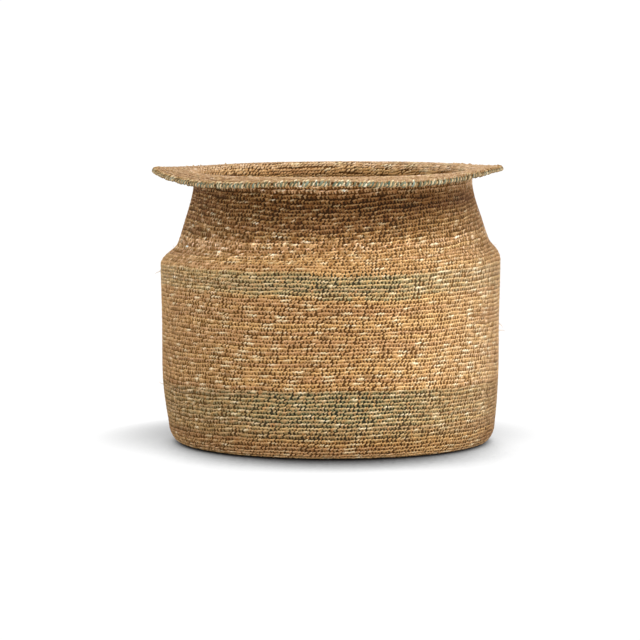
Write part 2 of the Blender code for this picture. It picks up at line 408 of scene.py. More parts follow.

# %% [markdown]
# ## Light and dark round the basket
# The same goes for the sides, where painted light and shade stand in for the lamps: the belly is
# drawn lighter to the right and darker on its left, and the neck dark close under the brim, most of
# all on its left. The far right of the belly is drawn darker and browner, and the green dye has faded
# most at the sides and in the upper band. Inside, painted shade lies below the line where the light
# over the near lip ends, a line that sinks towards the back. Each function gives a number for each
# stitch, from its turn round the basket and its distance along the outline.

# %% Set the tones by side
# Painted light and shade by side: the belly is drawn lighter to the right and darker on its left, the
# shoulder and the foot lighter on their left, and the neck lighter on its left low down and darker under the
# brim. The far right edge of the belly is drawn darker as well.
RIGHT_PALER = 0.15
GREEN_PALER_SHARE = 0.3  # of that, in the lower green courses
UPPER_PALER_SHARE = 0.6  # and from the upper green courses on
RIGHT_EDGE_DARKER = 0.25
LEFT_DARKER = 0.06
NECK_LEFT_PALER = 0.06
NECK_LEFT_DARKER = 0.45  # close under the brim
NECK_RIGHT_DARKER = 0.30  # under the brim
SHOULDER_LEFT_PALER = 0.12
FOOT_LEFT_PALER = 0.08
DYE, DYE_IN_FRONT, DYE_LESS_RIGHT = 0.61, 0.20, 0.15
UPPER_DYE = 0.84  # of the dye of the lower band
THIN_DYE, THINNER_DYE = 0.30, 0.25  # what the lowest green courses and those under them lack
# Inside, painted shade lies below the line where the light over the near lip ends, and the front of the
# brim's crest gets a painted highlight.
LIGHT_ENDS, LIGHT_SINKS = 10.0 * MM, 18.0 * MM  # where the light over the near lip ends
INSIDE_SHADE, INSIDE_DEPTH = 0.74, 0.22
CREST, CREST_LIGHT = 12.0 * MM, 0.24  # the top of the brim's front, where it turns over


def dye_strength(turns, distances):
    """How strong the dye is: faded at the sides and higher up, and thin in the lowest green courses."""
    lowest, highest = RINGS["lower_green_band"][0], RINGS["upper_green_band"][0]
    thin = 1.0 - THIN_DYE * (1.0 - smooth(distances, lowest + 8.0 * MM, lowest + 20.0 * MM))
    thin = thin - THINNER_DYE * (1.0 - smooth(distances, lowest - 6.0 * MM, lowest + 4.0 * MM))
    upper = UPPER_DYE * smooth(distances, highest, highest + 5.0 * MM)
    faded = np.where(distances > highest, upper, 1.0)
    front = np.cos(4.0 * math.pi * (turns + 0.25))
    right = smooth(to_right(turns), 0.4, 0.9)
    return (DYE + DYE_IN_FRONT * front - DYE_LESS_RIGHT * right) * faded * thin


def side_tone(turns, distances):
    """How much paler or darker the outside is drawn to the left and right of its front, mostly as painted
    light and shade.
    """
    right, left = to_right(turns), -to_right(turns)
    lower, shoulder, neck = [RINGS[name] for name in ("belly_lower_band", "shoulder_band", "neck_band")]
    paler = RIGHT_PALER * np.where(distances < lower[0], GREEN_PALER_SHARE, 1.0)
    paler = paler * np.where(distances > RINGS["upper_green_band"][0], UPPER_PALER_SHARE, 1.0)
    belly = 1.0 + paler * smooth(right, 0.05, 0.6) - RIGHT_EDGE_DARKER * smooth(right, 0.86, 1.0)
    low_down = smooth(distances, lower[1], lower[1] - 15.0 * MM)
    on_shoulder = smooth(distances, shoulder[0] - 4.0 * MM, shoulder[0] + 4.0 * MM)
    darker = between(LEFT_DARKER * (1.0 + 0.7 * low_down), -SHOULDER_LEFT_PALER, on_shoulder)
    belly = belly - darker * smooth(left, 0.3, 0.8)
    on_neck = smooth(distances, neck[0] + 4.0 * MM, neck[0] + 14.0 * MM)
    under_brim = smooth(distances, BRIM_START - 30.0 * MM, BRIM_START - 16.0 * MM)
    close = smooth(distances, BRIM_START - 12.0 * MM, BRIM_START - 6.0 * MM)
    shaded = smooth(right, 0.0, 0.7) * (1.0 - 0.6 * smooth(right, 0.88, 1.0)) * under_brim
    paler = between(NECK_LEFT_PALER * (1.0 - under_brim), -NECK_LEFT_DARKER, close)
    neck_tone = (1.0 + paler * smooth(left, 0.1, 0.95)) * (1.0 - NECK_RIGHT_DARKER * shaded)
    foot = 1.0 - smooth(distances, RINGS["foot_round"][1] - 6.0 * MM, RINGS["foot_round"][1])
    return between(belly, neck_tone, on_neck) * (1.0 - FOOT_LEFT_PALER * right * foot)


def inside_tone(turns, distances):
    """Dark below the line where the light over the near lip ends, and light on the brim's crest."""
    to_back = np.sin(2.0 * math.pi * turns)
    back, front = smooth(to_back.clip(0.0), 0.25, 0.65), smooth(-to_back, 0.3, 0.8)
    line = BRIM_START + LIGHT_ENDS - LIGHT_SINKS * to_back.clip(0.0)
    shade = 1.0 - smooth(distances, line + 1.0 * MM, line + 3.2 * MM)
    depth = 1.0 - smooth(distances, line - 1.5 * MM, line + 1.0 * MM)
    crest = 1.0 - smooth(np.abs(distances - BRIM_START - CREST), 2.0 * MM, 5.0 * MM)
    lit = 1.0 + CREST_LIGHT * front * crest
    return (1.0 - (INSIDE_SHADE * shade + INSIDE_DEPTH * depth) * back) * lit


FRONT = 0.75  # of a turn
print("dye in front:", round(float(dye_strength(FRONT, RINGS["lower_green_band"][1])), 2))

# %% [markdown]
# ## How even the stitches are
# In front every stitch stands out with a pinhole beside it. On the two sides fuzz fills the gaps, so
# the stitches there are flatter and looser, their painted shade is lighter, and they differ more in
# tone, most on the left. The top of the brim is drawn a paler tan, and the basket's far right a
# little.

# %% Set how even the stitches are
FLATTER = 0.5  # how much flatter the stitches are on the two sides
RIGHT_FLATTER = 0.6  # and how much more on the far right
MOTTLE = 0.55  # how much the stitches in front differ in tone, where 1 is the cord's own spread


def looseness(turns):
    """0 in front and behind, 1 on the two sides, and a little more at their ends."""
    side = np.abs(to_right(turns))
    return smooth(side, 0.25, 0.95) + 0.3 * smooth(side, 0.93, 1.0)


def flatness(turns):
    """How much flatter than in front the stitches of the outside are.

    This has a known fault. On the far right it reaches 1.25, and past 1 a stitch is turned inside out.
    """
    return FLATTER * looseness(turns) + RIGHT_FLATTER * smooth(to_right(turns), 0.75, 0.97)


def neck_share(distances):
    """1 in the neck and 0 below the shoulder and on the brim."""
    off_neck = 1.0 - smooth(distances, BRIM_START, BRIM_START + 4.0 * MM)
    return smooth(distances, *RINGS["shoulder_band"]) * off_neck


def mottling(turns, distances, inner):
    """How much the stitches differ in tone: most on the left, in the neck and on the brim."""
    brim, neck = smooth(distances, BRIM_START, BRIM_START + 4.0 * MM), neck_share(distances)
    edge = smooth(np.abs(to_right(turns)), 0.92, 1.0)
    sides = (0.55 * looseness(turns) - 0.6 * edge) * (1.0 - brim)
    if inner:
        return MOTTLE + sides + 0.7 * brim
    right = smooth(to_right(turns), 0.2, 0.7) * (1.0 - brim)
    return MOTTLE + sides - right * (0.25 + 0.55 * neck) + 1.35 * neck + 1.2 * brim


def paling(distances, turns, inner):
    """How far the cord is drawn a paler tan: on top of the brim, and at the basket's far right."""
    if inner:
        return smooth(distances, BRIM_START, BRIM_START + 10.0 * MM)
    return 0.5 * to_right(turns).clip(0.0) ** 14


print("the stitches at the right are flatter by", round(float(flatness(0.0)), 2))

# %% [markdown]
# ## Guides
# A guide is a bare set of points, one for each stitch of a ring, that tells Geometry Nodes where the
# stitch goes. Each point also says which way is along the round, which way is out of the fabric, how
# much room the stitch has, and which stitch of the spiral it is, so that colour can run along the
# cord from stitch to stitch as it does on the real thing.

# %% Make the guide of one face of a ring
# Painted light inside: drawn lighter to the right and darker to the left.
INSIDE_RIGHT_PALER = 0.09
FLOOR_LIFT = 0.5 * MM  # how far the stitches of the base stay off the floor
LEAST_RADIUS = 2.0 * MM  # keeps a stitch in the middle of the base from growing without end
MOST_ROOM = 0.02  # of a turn: keeps the lean small there too


def unit(vectors):
    """The vectors with their length made 1."""
    return vectors / np.linalg.norm(vectors, axis=1)[:, None]


def give(mesh, **layers):
    """Writes attributes with a number or a direction for each point. A single number serves them all."""
    for name, values in layers.items():
        if np.ndim(values) == 2:
            layer = mesh.attributes.new(name, "FLOAT_VECTOR", "POINT")
            layer.data.foreach_set("vector", np.ravel(values).astype(np.float32))
        else:
            layer = mesh.attributes.new(name, "FLOAT", "POINT")
            layer.data.foreach_set("value", np.full(len(mesh.vertices), values, np.float32))


def guide(name, numbers, turns, distances, depth, inner):
    """A point for each stitch, with its directions and room as attributes."""
    step = 0.5 * MM
    radius = np.interp(distances, LINE, LINE_RADIUS).clip(LEAST_RADIUS)
    share = step / radius / (2.0 * math.pi)
    around = fabric(distances, turns + share, depth) - fabric(distances, turns - share, depth)
    up = fabric(distances + step, turns, depth) - fabric(distances - step, turns, depth)
    wide = np.linalg.norm(around, axis=1) / (2.0 * share) * STITCH / (2.0 * math.pi * radius)
    high = np.linalg.norm(up, axis=1) / (2.0 * step) * COURSE
    if inner:
        facing, thick = -1.0, np.ones(len(turns))
        tones = np.interp(distances, *INNER_TONES) * inside_tone(turns, distances)
        tones = tones * (1.0 + INSIDE_RIGHT_PALER * to_right(turns))
    else:
        facing, thick = 1.0, 1.0 - flatness(turns)
        tones = np.interp(distances, *OUTER_TONES) * side_tone(turns, distances)
    mesh = bpy.data.meshes.new(name)
    mesh.from_pydata(fabric(distances, turns, depth).tolist(), [], [])
    give(mesh, along=unit(around) * facing, out=unit(np.cross(around, up)) * facing)
    give(mesh, room=np.stack([wide, high, thick], axis=1), run=numbers, tone=tones)
    give(mesh, loose=looseness(turns), mottle=mottling(turns, distances, inner))
    give(mesh, dye=dye_strength(turns, distances), faded=paling(distances, turns, inner))
    return linked(name, mesh)


def ring_guide(ring, inner):
    """The guide of the outer or the inner face of one ring."""
    first, last = RINGS[ring]
    numbers = np.nonzero((SPIRAL * COURSE >= first) & (SPIRAL * COURSE < last))[0]
    turns = SPIRAL[numbers]
    distances = wavered(turns * COURSE, turns)
    sway = SWAY + SIDE_SWAY * looseness(turns) + (0.0 if inner else NECK_SWAY) * neck_share(distances)
    off_edge = 1.0 - smooth(distances, LINE[-1] - 8.0 * MM, LINE[-1] - 2.0 * MM)
    distances += sway * SWAYS[numbers] * smooth(distances, FLOOR_RADIUS / 2, FLOOR_RADIUS) * off_edge
    room = STITCH / (2.0 * math.pi * np.interp(distances, LINE, LINE_RADIUS).clip(MM))
    turns = turns + (LEAN * turns + SLIP * SLIPS[numbers]) * room.clip(0.0, MOST_ROOM)
    lift = FLOOR_LIFT * (1.0 - smooth(distances, FLOOR_RADIUS, FLOOR_RADIUS + 8.0 * MM))
    return guide(ring + "_guide", numbers, turns, distances, FABRIC if inner else lift, inner)


# %% [markdown]
# ## One stitch
# The face of a single crochet stitch is a V that the pull of the yarn has pushed over: one leg lies
# along the round and catches the light, the other stands steep behind it, beside a pinhole. The lying
# legs make the bright ridge of a course and the pinholes the dark line under it. From behind, a
# stitch shows one short bar, or two leaning loops where the fabric is turned over at the neck. A leg
# could be a swept curve, but the basket has tens of thousands of them, so each is a strand of some
# twenty triangles: a closed spindle with its ends drawn to points.


# %% Model a strand and the stitches made of it
# The underside of every strand is drawn darker than its top: painted shade.
UNDERSIDE = 0.55  # how light the underside of a strand is


def strand(path, half_widths, half_depths, light, sides):
    """Points, faces and shade of a closed strand that is pointed at both ends of its path."""
    path = np.array(path, float)
    points, shade = [path[0]], [light[0]]
    for place in range(1, len(path) - 1):
        heading = path[place + 1] - path[place - 1]
        across = np.cross(heading, (0.0, 0.0, 1.0))
        across /= np.linalg.norm(across)
        over = np.cross(across, heading / np.linalg.norm(heading))
        for side in range(sides):
            angle = math.pi / 2 + 2.0 * math.pi * side / sides
            reach = across * math.cos(angle) * half_widths[place - 1]
            points.append(path[place] + reach + over * math.sin(angle) * half_depths[place - 1])
            shade.append(light[place] * between(UNDERSIDE, 1.0, (1.0 + math.sin(angle)) / 2))
    points.append(path[-1])
    shade.append(light[-1])
    rings = len(path) - 2
    faces = []
    for side in range(sides):
        after = (side + 1) % sides
        faces.append((0, 1 + side, 1 + after))
        for ring in range(rings - 1):
            low = 1 + ring * sides
            faces.append((low + side, low + sides + side, low + sides + after, low + after))
        high = 1 + (rings - 1) * sides
        faces.append((high + after, high + side, len(points) - 1))
    return points, faces, shade


def stitch_shape(name, strands, size=1.0):
    """A mesh of some strands that faces outwards, with what the finish needs to know as attributes."""
    points, faces, shade, parts = [], [], [], []
    for part, (more_points, more_faces, more_shade) in enumerate(strands):
        faces += [[corner + len(points) for corner in face] for face in more_faces]
        points += list(more_points)
        shade += more_shade
        parts += [part] * len(more_points)
    mesh = bpy.data.meshes.new(name)
    mesh.from_pydata([list(map(float, point)) for point in points], [], faces)
    work = bmesh.new()
    work.from_mesh(mesh)
    bmesh.ops.recalc_face_normals(work, faces=work.faces)
    work.to_mesh(mesh)
    work.free()
    mesh.shade_smooth()
    across, upward, _ = np.array(points).T / size
    give(mesh, side=across, up=upward, shade=shade, part=parts)
    print(name, "has", sum(len(face) - 2 for face in faces), "triangles")
    return bpy.data.objects.new(name, mesh)


# In these shapes 1 is the room that a stitch has: its width, its course, and the cord's thickness.
LYING_LEG = ((-0.62, -0.04, -0.95), (-0.35, 0.07, -0.38), (0.35, 0.27, -0.28), (0.66, 0.40, -0.95))
STANDING_LEG = ((0.04, -0.66, -1.1), (-0.05, -0.38, -0.64), (-0.15, -0.05, -0.56), (-0.20, 0.26, -1.0))
LYING_WIDTHS, STANDING_WIDTHS, V_DEPTHS = (0.21, 0.21), (0.31, 0.32), (0.44, 0.46)
# The light along each leg is painted shade: the standing leg and the ends that go under are drawn darker,
# where the course above and the pinholes keep the light off.
LYING_LIGHT, STANDING_LIGHT = (0.75, 1.0, 1.0, 0.85), (0.10, 0.34, 0.52, 0.4)
UNDER_LEG = ((-0.40, -0.56, -1.0), (-0.09, -0.40, -0.46), (0.38, -0.22, -0.40), (0.74, -0.06, -1.0))
UNDER_LIGHT = (0.4, 0.8, 0.8, 0.5)
BAR = ((-0.58, -0.06, -0.85), (-0.20, 0.02, -0.42), (0.22, 0.06, -0.42), (0.60, -0.02, -0.85))
SLANT = ((-0.42, -0.40, -0.95), (-0.16, -0.14, -0.40), (0.18, 0.16, -0.40), (0.44, 0.42, -0.95))
EVEN, EVEN_LIGHT = (0.42, 0.42), (0.6, 1.0, 1.0, 0.6)

lying = strand(LYING_LEG, LYING_WIDTHS, V_DEPTHS, LYING_LIGHT, 5)
standing = strand(STANDING_LEG, STANDING_WIDTHS, V_DEPTHS, STANDING_LIGHT, 5)
under = strand(UNDER_LEG, LYING_WIDTHS, V_DEPTHS, UNDER_LIGHT, 5)
v_stitch = stitch_shape("v_stitch", [lying, standing])
turned_stitch = stitch_shape("turned_stitch", [lying, under])
bar_stitch = stitch_shape("bar_stitch", [strand(BAR, EVEN, EVEN, EVEN_LIGHT, 4)])
slant_stitch = stitch_shape("slant_stitch", [strand(SLANT, EVEN, EVEN, EVEN_LIGHT, 4)])

# %% [markdown]
# ## Adding nodes
# Both the stitches and the finishes are made of nodes. One small function adds any kind of node with
# its settings and what its sockets are fed, so the trees below read like lists of steps. A node given
# as a feed gives its first output that is in use. Most kinds of node that a material and a Geometry
# Nodes tree share have a name that starts with ShaderNode, and here the rest of it is enough.


# %% One function for every node
def add(tree, kind, feeds=None, **settings):
    """Adds a node. feeds gives, for a socket, a value, or the node or output that feeds it."""
    node = tree.nodes.new(kind if "Node" in kind else "ShaderNode" + kind)
    for name, value in settings.items():
        setattr(node, name, value)
    for socket, value in (feeds or {}).items():
        if isinstance(value, bpy.types.Node):
            value = next(output for output in value.outputs if output.enabled)
        if isinstance(value, bpy.types.NodeSocket):
            tree.links.new(value, node.inputs[socket])
        else:
            node.inputs[socket].default_value = value
    return node


# %% [markdown]
# ## Working the stitches
# The stitches repeat over the whole basket, so Geometry Nodes work them. The tree reads the guide's
# directions, turns them into a rotation, and sets one stitch on each point. Its inputs are the cord's
# thickness and how unsteady the hand is, and fixed seeds keep each run the same. The instances are
# made real at the end, because an exported model drops them.

# %% Build the tree that works stitches
STITCH_INPUTS = (
    ("Guide", "Geometry"),
    ("Stitch", "Object"),
    ("Finish", "Material"),
    ("Width", "Float"),
    ("Height", "Float"),
    ("Thickness", "Float"),
    ("Twist", "Float"),
    ("Unevenness", "Vector"),
    ("Wander", "Vector"),
    ("Seed", "Int"),
)
OTHER_SEED = 100.0  # added to the seed, so that size and place don't follow the same chance


def stitch_tree():
    """Sets the chosen stitch on every point of a guide."""
    tree = bpy.data.node_groups.new("work_stitches", "GeometryNodeTree")
    for name, kind in STITCH_INPUTS:
        tree.interface.new_socket(name, in_out="INPUT", socket_type="NodeSocket" + kind)
    tree.interface.new_socket("Stitches", in_out="OUTPUT", socket_type="NodeSocketGeometry")
    given = add(tree, "NodeGroupInput").outputs
    along, out, room = [
        add(tree, "GeometryNodeInputNamedAttribute", {"Name": name}, data_type="FLOAT_VECTOR")
        for name in ("along", "out", "room")
    ]
    feeds = {0: out, 1: along}
    facing = add(tree, "FunctionNodeAxesToRotation", feeds, primary_axis="Z", secondary_axis="X")
    less = add(tree, "Math", {0: 0.0, 1: given["Twist"]}, operation="SUBTRACT")
    twist = add(tree, "FunctionNodeRandomValue", {2: less, 3: given["Twist"], 8: given["Seed"]})
    turn = add(tree, "CombineXYZ", {"Z": twist})
    turned = add(tree, "FunctionNodeRotateRotation", {0: facing, 1: turn}, rotation_space="LOCAL")
    size = add(tree, "CombineXYZ", {0: given["Width"], 1: given["Height"], 2: given["Thickness"]})
    fitted = add(tree, "VectorMath", {0: room, 1: size}, operation="MULTIPLY")
    other = add(tree, "Math", {0: given["Seed"], 1: OTHER_SEED}, operation="ADD")
    by_chance = []
    for middle, reach, seed in ((1.0, "Unevenness", given["Seed"]), (0.0, "Wander", other)):
        feeds = {0: (middle, middle, middle), 1: given[reach]}
        low = add(tree, "VectorMath", feeds, operation="SUBTRACT")
        high = add(tree, "VectorMath", feeds, operation="ADD")
        chance = add(tree, "FunctionNodeRandomValue", {0: low, 1: high, 8: seed}, data_type="FLOAT_VECTOR")
        by_chance.append(add(tree, "VectorMath", {0: fitted, 1: chance}, operation="MULTIPLY"))
    scale, stray = by_chance
    offset = add(tree, "FunctionNodeRotateVector", {"Vector": stray, "Rotation": facing})
    strayed = add(tree, "GeometryNodeSetPosition", {"Geometry": given["Guide"], "Offset": offset})
    shape = add(tree, "GeometryNodeObjectInfo", {"Object": given["Stitch"]}).outputs["Geometry"]
    feeds = {"Points": strayed, "Instance": shape, "Rotation": turned, "Scale": scale}
    placed = add(tree, "GeometryNodeInstanceOnPoints", feeds)
    real = add(tree, "GeometryNodeRealizeInstances", {"Geometry": placed})
    finished = add(tree, "GeometryNodeSetMaterial", {"Geometry": real, "Material": given["Finish"]})
    add(tree, "NodeGroupOutput", {"Stitches": finished})
    return tree


WORK_STITCHES = stitch_tree()
print("the stitch tree has", len(WORK_STITCHES.nodes), "nodes")

# %% [markdown]
# ## From guide to plain mesh
# The modifier's inputs are set by their identifiers, the result is copied to a plain mesh, and the
# guide goes. Each stitch then gets its own small square of a UV map, so that a baked picture of the
# piece has room for every stitch, however long the round is.


# %% Turn a guide into stitches
def worked(name, source, **inputs):
    """A plain mesh object of the stitches on a guide."""
    inputs = {"width": 1.0, "height": 1.0, "thickness": 1.0, **inputs}
    modifier = source.modifiers.new("Work", "NODES")
    modifier.node_group = WORK_STITCHES
    for item in WORK_STITCHES.interface.items_tree:
        if item.in_out == "INPUT" and item.name.lower() in inputs:
            modifier[item.identifier] = inputs[item.name.lower()]
    depsgraph = bpy.context.evaluated_depsgraph_get()
    evaluated = source.evaluated_get(depsgraph)
    mesh = bpy.data.meshes.new_from_object(
        evaluated, preserve_all_data_layers=True, depsgraph=depsgraph
    )
    mesh.name = name
    old = source.data
    bpy.data.objects.remove(source)
    bpy.data.meshes.remove(old)
    for extra in ("along", "out", "room"):
        if extra in mesh.attributes:
            mesh.attributes.remove(mesh.attributes[extra])
    cells(mesh)
    return linked(name, mesh)


def triangles_in(piece):
    """How many triangles a piece has."""
    return sum(len(polygon.vertices) - 2 for polygon in piece.data.polygons)


def taken(mesh, name):
    """One attribute's value for each point."""
    values = np.empty(len(mesh.vertices), np.float32)
    mesh.attributes[name].data.foreach_get("value", values)
    return values


def cells(mesh):
    """A UV map with a square cell for each stitch, in rows, in the order of work."""
    run = taken(mesh, "run")
    number = run - run.min()
    columns = math.ceil(math.sqrt(number.max() + 1.0))
    reach = 0.72  # a little more than the farthest point of a stitch from its middle
    u = (number % columns + 0.5 + 0.5 * taken(mesh, "side") / reach) / columns
    v = (number // columns + 0.5 + 0.5 * taken(mesh, "up") / reach) / columns
    corners = np.empty(len(mesh.loops), np.int32)
    mesh.loops.foreach_get("vertex_index", corners)
    layer = mesh.uv_layers.new(name="OFBake", do_init=False)
    layer.uv.foreach_set("vector", np.stack([u, v], axis=1)[corners].ravel().astype(np.float32))


# %% [markdown]
# ## Seagrass cord
# Seagrass is dried sedge, twisted into a thin cord. It is matt with a faint straw shine, and no two
# lengths have the same colour: some dried golden, some brown, some nearly cream. The colour therefore
# runs along the cord. Each stitch knows its number in the spiral, and noise on that number gives long
# changes from batch to batch, short pale dashes where a light blade comes to the surface, and a small
# step from each stitch to the next. Fine lines along the strand are the blades' own fibres.

# %% Colours and finishes
def linear(code):
    """A colour for a socket from its sRGB hex code."""
    parts = [int(code[place : place + 2], 16) / 255 for place in (1, 3, 5)]
    light = [part / 12.92 if part <= 0.04045 else ((part + 0.055) / 1.055) ** 2.4 for part in parts]
    return light + [1.0]


GOLDEN = "#D8AC70"
TAN = "#CA9B68"
BROWN = "#A98255"
CREAM = "#E6CDA0"
PALER_TAN = "#DCBB96"
SAGE = "#9C9C74"
DEEP_GREEN = "#728C70"
FADED_TEAL = "#5B7464"
# The hues below also turn painted shade browner: the shade along each strand, and the light and shade drawn
# by zone and side.
DARKER_HUES = (1.0, 1.42, 2.15)  # a darker blade is browner: it loses its blue first, its red last
SHADED_HUES = (1.0, 1.28, 1.70)  # the same in the shade under the brim


SHADE = 110.0  # stitches over which a blade keeps one shade, a third of a metre
STEP_OF_TONE = 2.2  # stitches between one light or dark place and the next
SLANT_OF_TWIST = -0.6  # how far the twist moves a colour along the cord from its foot to its top
FIBRES = (9.0, 1.2, 0.7)  # nine to a stitch, coarser than the real ones, so that they show
BATCH = 42.0 * MM  # the size of a patch with more pale dashes or fewer
PALE_STANDING, PALE_LYING = (0.2, 1.0), (1.0, 0.25)  # how pale the lying and standing leg are
# The painted shade of the pinholes and of the strands' feet goes no darker than these.
DEEPEST, LOOSE_DEEPEST = 0.60, 0.30  # how light the deepest place is, and how much more where fuzzy


def seagrass(name, cream_share, brown_share, dyes=(), dye_share=0.0, reach=5.0, dyed_legs=(0.55, 1.0)):
    """Dry twisted sedge, with colours that each last over about reach stitches of the cord."""
    material = bpy.data.materials.new(name)
    material.use_nodes = True
    tree = material.node_tree
    tree.nodes.clear()
    known = {}
    for attribute in ("run", "side", "up", "shade", "part", "tone", "dye", "faded", "loose", "mottle"):
        known[attribute] = add(tree, "Attribute", attribute_name=attribute).outputs["Fac"]
    along = add(tree, "Math", {0: known["run"], 1: known["side"]}, operation="ADD")
    slanted = add(tree, "Math", {0: known["up"], 1: SLANT_OF_TWIST, 2: along}, operation="MULTIPLY_ADD")

    def along_cord(stitches, detail, start):
        """Noise from 0 to 1 along the cord over about this many stitches. The start is its seed."""
        place = add(tree, "Math", {0: slanted, 1: 1.0 / stitches, 2: start}, operation="MULTIPLY_ADD")
        feeds = {"W": place, "Scale": 1.0, "Detail": detail, "Roughness": 0.6}
        return add(tree, "TexNoise", feeds, noise_dimensions="1D")

    def laid_over(under, over, amount, low, high, *shares):
        """One colour over another while an amount goes from low to high. A pair is a share by leg."""
        factor = add(tree, "MapRange", {"Value": amount, "From Min": low, "From Max": high})
        for share in shares:
            if isinstance(share, tuple):
                feeds = {"Value": known["part"], "To Min": share[0], "To Max": share[1]}
                share = add(tree, "MapRange", feeds)
            factor = add(tree, "Math", {0: factor, 1: share}, operation="MULTIPLY")
        feeds = {0: factor, 6: under, 7: over}
        return add(tree, "Mix", feeds, data_type="RGBA", clamp_factor=True)

    def shaded(tone, amount, low, high, dark, light):
        """A tone times dark where an amount is low and times light where it is high."""
        feeds = {"Value": amount, "From Min": low, "From Max": high, "To Min": dark, "To Max": light}
        step = add(tree, "MapRange", feeds)
        return add(tree, "Math", {0: tone, 1: step}, operation="MULTIPLY")

    colour = laid_over(linear(TAN), linear(GOLDEN), along_cord(SHADE, 3.0, 3.1), 0.40, 0.60)
    brown = along_cord(1.3 * reach, 2.0, 17.7)
    colour = laid_over(colour, linear(BROWN), brown, 1.0 - brown_share, 1.12 - brown_share, 0.75)
    colour = laid_over(colour, linear(PALER_TAN), known["faded"], 0.0, 1.0)
    if dyes:
        dye = laid_over(linear(dyes[0]), linear(dyes[1]), known["part"], 0.0, 1.0)
        taken_up = along_cord(0.45 * reach, 2.0, 41.3)
        limits = (0.90 - dye_share, 1.20 - dye_share)
        colour = laid_over(colour, dye, taken_up, *limits, dyed_legs, known["dye"])
    place = add(tree, "TexCoord").outputs["Object"]
    batch = add(tree, "TexNoise", {"Vector": place, "Scale": 1.0 / BATCH, "Detail": 1.0})
    dashes = along_cord(reach, 0.0, 71.9)
    bundle = along_cord(16.0 * reach, 1.0, 5.9)
    for amount, fewer, more in ((batch, -0.09, 0.08), (bundle, -0.06, 0.05)):
        feeds = {"Value": amount, "From Min": 0.35, "From Max": 0.65, "To Min": fewer, "To Max": more}
        step = add(tree, "MapRange", feeds)
        dashes = add(tree, "Math", {0: dashes, 1: step}, operation="ADD")
    pale_legs = PALE_STANDING if dyed_legs[0] > dyed_legs[1] else PALE_LYING
    colour = laid_over(colour, linear(CREAM), dashes, 0.92 - cream_share, 1.18 - cream_share, pale_legs)
    legs = add(tree, "Math", {0: known["part"], 1: 0.37, 2: known["run"]}, operation="MULTIPLY_ADD")
    each = add(tree, "TexWhiteNoise", {"W": legs}, noise_dimensions="1D")
    tone = shaded(1.0, along_cord(STEP_OF_TONE, 1.0, 29.3), 0.25, 0.75, 0.80, 1.20)
    tone = shaded(tone, each, 0.0, 1.0, 0.82, 1.18)
    tone = add(tree, "Math", {0: tone, 1: known["mottle"]}, operation="POWER")
    blades = add(tree, "CombineXYZ", {0: known["side"], 1: known["up"], 2: known["run"]})
    stretched = add(tree, "VectorMath", {0: blades, 1: FIBRES}, operation="MULTIPLY")
    fibre = add(tree, "TexNoise", {"Vector": stretched, "Scale": 1.0, "Detail": 2.0})
    tone = shaded(tone, fibre, 0.3, 0.7, 0.9, 1.08)
    # Painted shade along each strand: darkest at the feet and in the pinholes, and lighter on the fuzzy
    # sides.
    deep = add(tree, "Math", {0: known["tone"], 1: DEEPEST}, operation="MULTIPLY")
    deepest = add(tree, "Math", {0: known["loose"], 1: LOOSE_DEEPEST, 2: deep}, operation="MULTIPLY_ADD")
    tone = shaded(tone, known["shade"], 0.1, 1.0, deepest, 1.08)
    for value, hues in ((tone, DARKER_HUES), (known["tone"], SHADED_HUES)):
        powers = {}
        for channel, hue in enumerate(hues):
            powers[channel] = add(tree, "Math", {0: value, 1: hue}, operation="POWER")
        weights = add(tree, "CombineXYZ", powers)
        colour = add(tree, "VectorMath", {0: colour, 1: weights}, operation="MULTIPLY")
    bump = add(tree, "Bump", {"Height": fibre, "Strength": 0.35, "Distance": 0.15 * MM})
    feeds = {"Base Color": colour, "Roughness": 0.72, "IOR": 1.45, "Specular IOR Level": 0.35, "Normal": bump}
    shader = add(tree, "BsdfPrincipled", feeds)
    add(tree, "OutputMaterial", {"Surface": shader})
    return material


natural_cord = seagrass("natural_seagrass_cord", 0.34, 0.38)
streaked_cord = seagrass("streaked_seagrass_cord", 0.39, 0.40)
green_cord = seagrass("green_dyed_seagrass_cord", 0.34, 0.34, (SAGE, DEEP_GREEN), 0.66)
edging_cord = seagrass("edging_cord", 0.74, 0.30, (FADED_TEAL, FADED_TEAL), 0.84, 1.2, (1.0, 0.05))
tinged_cord = seagrass("tinged_seagrass_cord", 0.34, 0.38, (SAGE, DEEP_GREEN), 0.50)
FINISHES = {
    "foot_round": (tinged_cord, "natural_seagrass"),
    "lower_green_band": (green_cord, "green_seagrass"),
    "upper_green_band": (green_cord, "green_seagrass"),
    "belly_lower_band": (streaked_cord, "streaked_seagrass"),
    "brim": (streaked_cord, "streaked_seagrass"),
}
cords = (natural_cord, streaked_cord, green_cord, tinged_cord, edging_cord)
print("finishes:", [cord.name for cord in cords])

# %% [markdown]
# ## The core of the fabric
# Under the legs of the stitches lies the rest of each loop, in shade. It only shows as the dark floor
# of the pinholes, so one closed shell in the middle of the fabric stands for all of it. It is a grid
# of points on the same outline and by the same hand, 1.1 mm under each face.

# %% Make the core
CORE_DEPTH = 1.1 * MM
CORE_SIDES = 96
CORE_STEP = 4.0 * MM
# The core's colours are painted shade, darker than the cord. At the sides, where fuzz fills the pinholes,
# they are lighter.
CORE_DARK, CORE_BROWN, CORE_GREEN, CORE_FUZZY = "#513519", "#704E2A", "#2B392E", "#8A6438"
CORE_PATCH = 6.0 * MM
CORE_DEEPER = 1.7  # the power by which the core is darker than the cord over it


